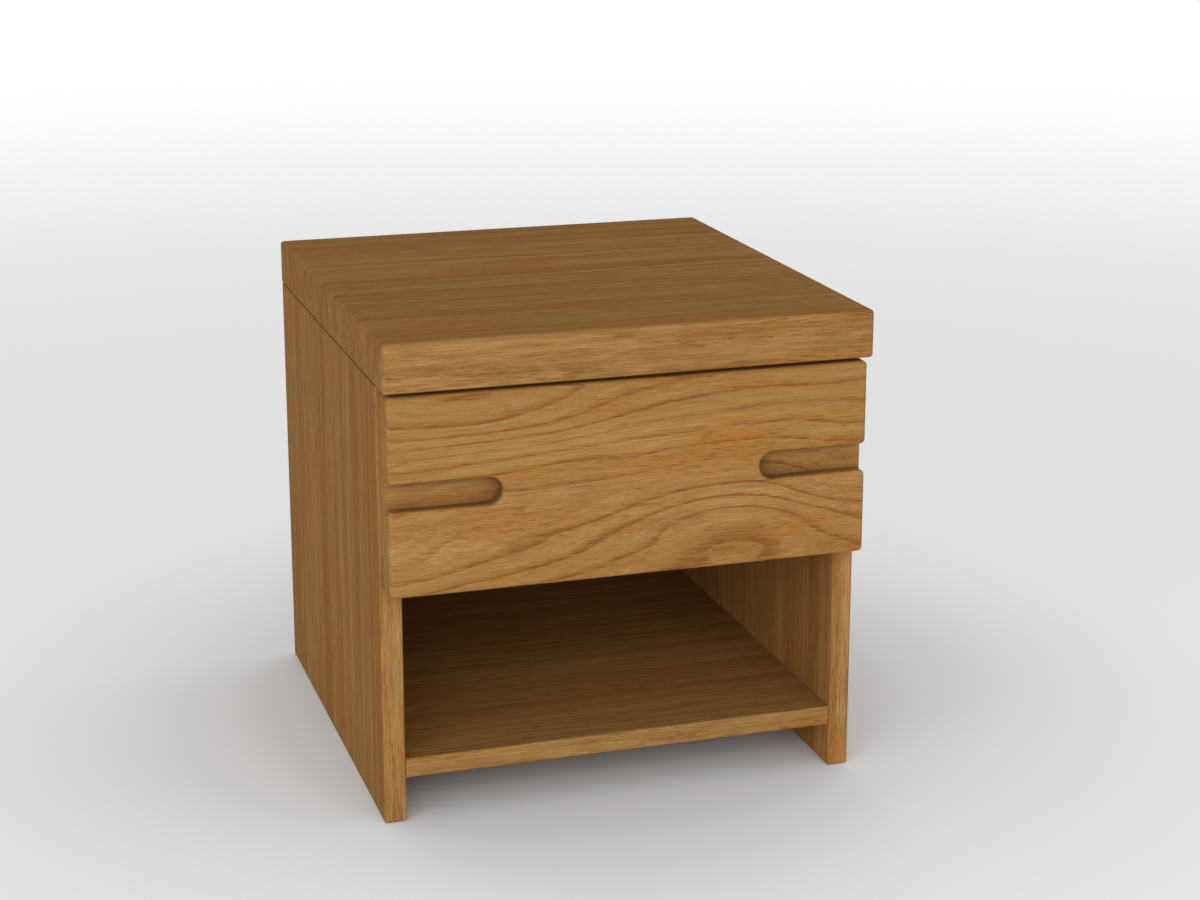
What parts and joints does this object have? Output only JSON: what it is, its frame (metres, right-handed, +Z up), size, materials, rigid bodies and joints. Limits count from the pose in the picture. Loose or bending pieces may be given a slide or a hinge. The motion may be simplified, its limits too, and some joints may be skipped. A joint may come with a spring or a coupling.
{
  "type": "bedside cabinet",
  "caption": "Low oak bedside cabinet with a thick top, one overlay drawer with blind finger grooves at its ends, and an open compartment over a low shelf.",
  "frame": {"origin": "middle of the footprint on the floor", "axes": "+Z up, -Y out of the front, +X to the right of someone who faces the front"},
  "size_m": [0.45, 0.48, 0.45],
  "materials": {
    "oak_top": "oiled oak, grain along the width",
    "oak_sides": "oiled oak, upright grain",
    "oak_shelf": "oiled oak, grain along the width",
    "oak_back": "oiled oak veneer, upright grain",
    "oak_front": "oiled oak, figured grain along the width",
    "drawer_oak": "lacquered oak boards",
    "drawer_ply": "lacquered oak-faced plywood",
    "tongue_ply": "plain birch plywood",
    "runner_zinc": "bright zinc plate",
    "cage_steel": "greased pressed steel",
    "ball_chrome": "polished ball steel",
    "screw_zinc": "yellow zinc plate",
    "bumper_rubber": "matt black"
  },
  "bodies": {
    "cabinet": {"top_panel": "oak_top", "side_panel_left": "oak_sides", "side_panel_right": "oak_sides", "shelf": "oak_shelf", "back_panel": "oak_back", "top_tongue_left": "tongue_ply", "top_tongue_right": "tongue_ply", "rail_screws": "screw_zinc", "runner_rail_left": "runner_zinc", "runner_rail_right": "runner_zinc", "runner_bumper_left": "bumper_rubber", "runner_bumper_right": "bumper_rubber"},
    "drawer": {"drawer_front": "oak_front", "drawer_box_front": "drawer_oak", "drawer_box_back": "drawer_oak", "drawer_box_left": "drawer_oak", "drawer_box_right": "drawer_oak", "drawer_bottom": "drawer_ply", "drawer_front_screws": "screw_zinc", "slide_screws": "screw_zinc", "runner_slide_left": "runner_zinc", "runner_slide_right": "runner_zinc"},
    "cage_left": {"ball_cage_left": "cage_steel", "runner_balls_left": "ball_chrome"},
    "cage_right": {"ball_cage_right": "cage_steel", "runner_balls_right": "ball_chrome"}
  },
  "joints": [
    {"name": "drawer_slide", "type": "slide", "parent": "cabinet", "child": "drawer", "axis": [0, -1, 0], "range_m": [0, 0.3]},
    {"name": "cage_left_slide", "type": "slide", "parent": "cabinet", "child": "cage_left", "axis": [0, -1, 0], "range_m": [0, 0.15]},
    {"name": "cage_right_slide", "type": "slide", "parent": "cabinet", "child": "cage_right", "axis": [0, -1, 0], "range_m": [0, 0.15]}
  ],
  "couplings": [
    {"joint": "cage_left_slide", "follows": "drawer_slide", "ratio": 0.5},
    {"joint": "cage_right_slide", "follows": "drawer_slide", "ratio": 0.5}
  ]
}
